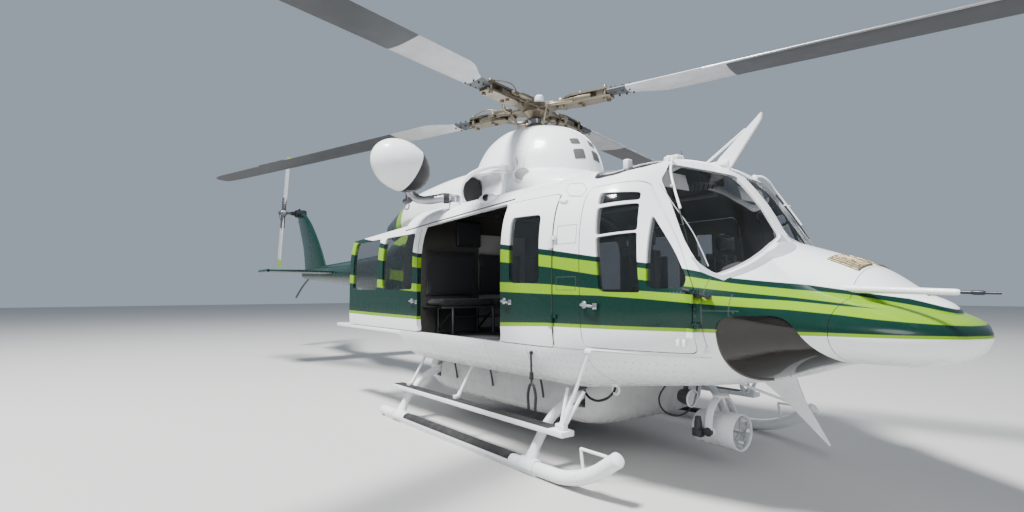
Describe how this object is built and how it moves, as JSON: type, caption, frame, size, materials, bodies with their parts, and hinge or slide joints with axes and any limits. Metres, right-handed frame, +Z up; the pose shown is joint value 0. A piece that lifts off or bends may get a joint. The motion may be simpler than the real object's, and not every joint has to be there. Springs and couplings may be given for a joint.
{
  "type": "twin-engine utility helicopter",
  "caption": "Skid-gear rescue helicopter with four-blade rotor, tail rotor, hinged and sliding doors, belly tank, hoist and searchlight.",
  "frame": {"origin": "on the ground, under the middle of the whole object's box", "axes": "+X to the nose, +Y to the left side, +Z up; the main rotor mast stands 1.194 m ahead of the origin"},
  "size_m": [15.8566, 13.469, 4.5172],
  "materials": {
    "white_paint": "gloss",
    "green_paint": "gloss",
    "dark_paint": "satin",
    "blade_paint": "satin",
    "steel": "satin",
    "tinted_glass": "gloss",
    "seat_fabric": "matte"
  },
  "bodies": {
    "airframe": {"lower_hull": "white_paint", "cabin_frame": "white_paint", "nose_cone": "white_paint", "windshield_right": "tinted_glass", "windshield_left": "tinted_glass", "chin_window_right": "tinted_glass", "chin_window_left": "tinted_glass", "roof_window_right": "tinted_glass", "roof_window_left": "tinted_glass", "aft_fuselage": "white_paint", "door_rail_right": "white_paint", "door_rail_left": "white_paint", "tail_boom": "green_paint", "tail_fin": "green_paint", "tail_gearbox": "dark_paint", "stabiliser_right": "green_paint", "stabiliser_left": "green_paint", "engine_cowling": "white_paint", "mast_fairing": "white_paint", "engine_block": "steel", "skid_right": "white_paint", "skid_left": "white_paint", "step_right": "white_paint", "step_left": "white_paint", "crosstube_front": "white_paint", "crosstube_aft": "white_paint", "belly_tank": "white_paint", "crew_seat_right": "seat_fabric", "crew_seat_left": "seat_fabric", "instrument_panel": "dark_paint", "cabin_bench": "seat_fabric"},
    "main_rotor": {"rotor_mast": "steel", "rotor_hub": "dark_paint", "swashplate": "dark_paint", "main_blade_1": "blade_paint", "main_blade_2": "blade_paint", "main_blade_3": "blade_paint", "main_blade_4": "blade_paint"},
    "tail_rotor": {"tail_rotor": "white_paint"},
    "crew_door_right": {"crew_door_right": "white_paint", "crew_door_glass_right_1": "tinted_glass", "crew_door_glass_right_2": "tinted_glass"},
    "crew_door_left": {"crew_door_left": "white_paint", "crew_door_glass_left_1": "tinted_glass", "crew_door_glass_left_2": "tinted_glass"},
    "hinged_panel_right": {"hinged_panel_right": "white_paint", "hinged_panel_glass_right": "tinted_glass"},
    "hinged_panel_left": {"hinged_panel_left": "white_paint", "hinged_panel_glass_left": "tinted_glass"},
    "sliding_door_right": {"sliding_door_right": "white_paint", "sliding_door_glass_right_1": "tinted_glass", "sliding_door_glass_right_2": "tinted_glass"},
    "sliding_door_left": {"sliding_door_left": "white_paint", "sliding_door_glass_left_1": "tinted_glass", "sliding_door_glass_left_2": "tinted_glass"},
    "hoist": {"hoist_arm": "steel", "hoist_winch": "white_paint"},
    "searchlight_yoke": {"searchlight_yoke": "white_paint"},
    "searchlight_lamp": {"searchlight_lamp": "white_paint"}
  },
  "joints": [
    {"name": "main_rotor_spin", "type": "hinge", "parent": "airframe", "child": "main_rotor", "pos_m": [1.19386, 0, 3.46], "axis": [0, 0, 1], "continuous": true},
    {"name": "tail_rotor_spin", "type": "hinge", "parent": "airframe", "child": "tail_rotor", "pos_m": [-7.56614, -0.4, 3.21], "axis": [0, 1, 0], "continuous": true},
    {"name": "crew_door_right_hinge", "type": "hinge", "parent": "airframe", "child": "crew_door_right", "pos_m": [4.00986, -1.102, 1.25], "axis": [0, 0, 1], "range_deg": [0, 75]},
    {"name": "crew_door_left_hinge", "type": "hinge", "parent": "airframe", "child": "crew_door_left", "pos_m": [4.00986, 1.102, 1.25], "axis": [0, 0, -1], "range_deg": [0, 75]},
    {"name": "hinged_panel_right_hinge", "type": "hinge", "parent": "airframe", "child": "hinged_panel_right", "pos_m": [2.95386, -1.318, 1.5], "axis": [0, 0, 1], "range_deg": [0, 85]},
    {"name": "hinged_panel_left_hinge", "type": "hinge", "parent": "airframe", "child": "hinged_panel_left", "pos_m": [2.95386, 1.318, 1.5], "axis": [0, 0, -1], "range_deg": [0, 85]},
    {"name": "sliding_door_right_slide", "type": "slide", "parent": "airframe", "child": "sliding_door_right", "axis": [1, 0, 0], "range_m": [-0.42, 1.45]},
    {"name": "sliding_door_left_slide", "type": "slide", "parent": "airframe", "child": "sliding_door_left", "axis": [-1, 0, 0], "range_m": [0, 1.87]},
    {"name": "hoist_swing", "type": "hinge", "parent": "airframe", "child": "hoist", "pos_m": [1.19386, -1.08, 2.3], "axis": [0, 0, 1], "range_deg": [-20, 60]},
    {"name": "searchlight_pan", "type": "hinge", "parent": "airframe", "child": "searchlight_yoke", "pos_m": [3.48386, 0, 0.55], "axis": [0, 0, 1], "range_deg": [-170, 170]},
    {"name": "searchlight_tilt", "type": "hinge", "parent": "searchlight_yoke", "child": "searchlight_lamp", "pos_m": [3.48386, 0, 0.29], "axis": [0, 1, 0], "range_deg": [-20, 60]}
  ]
}
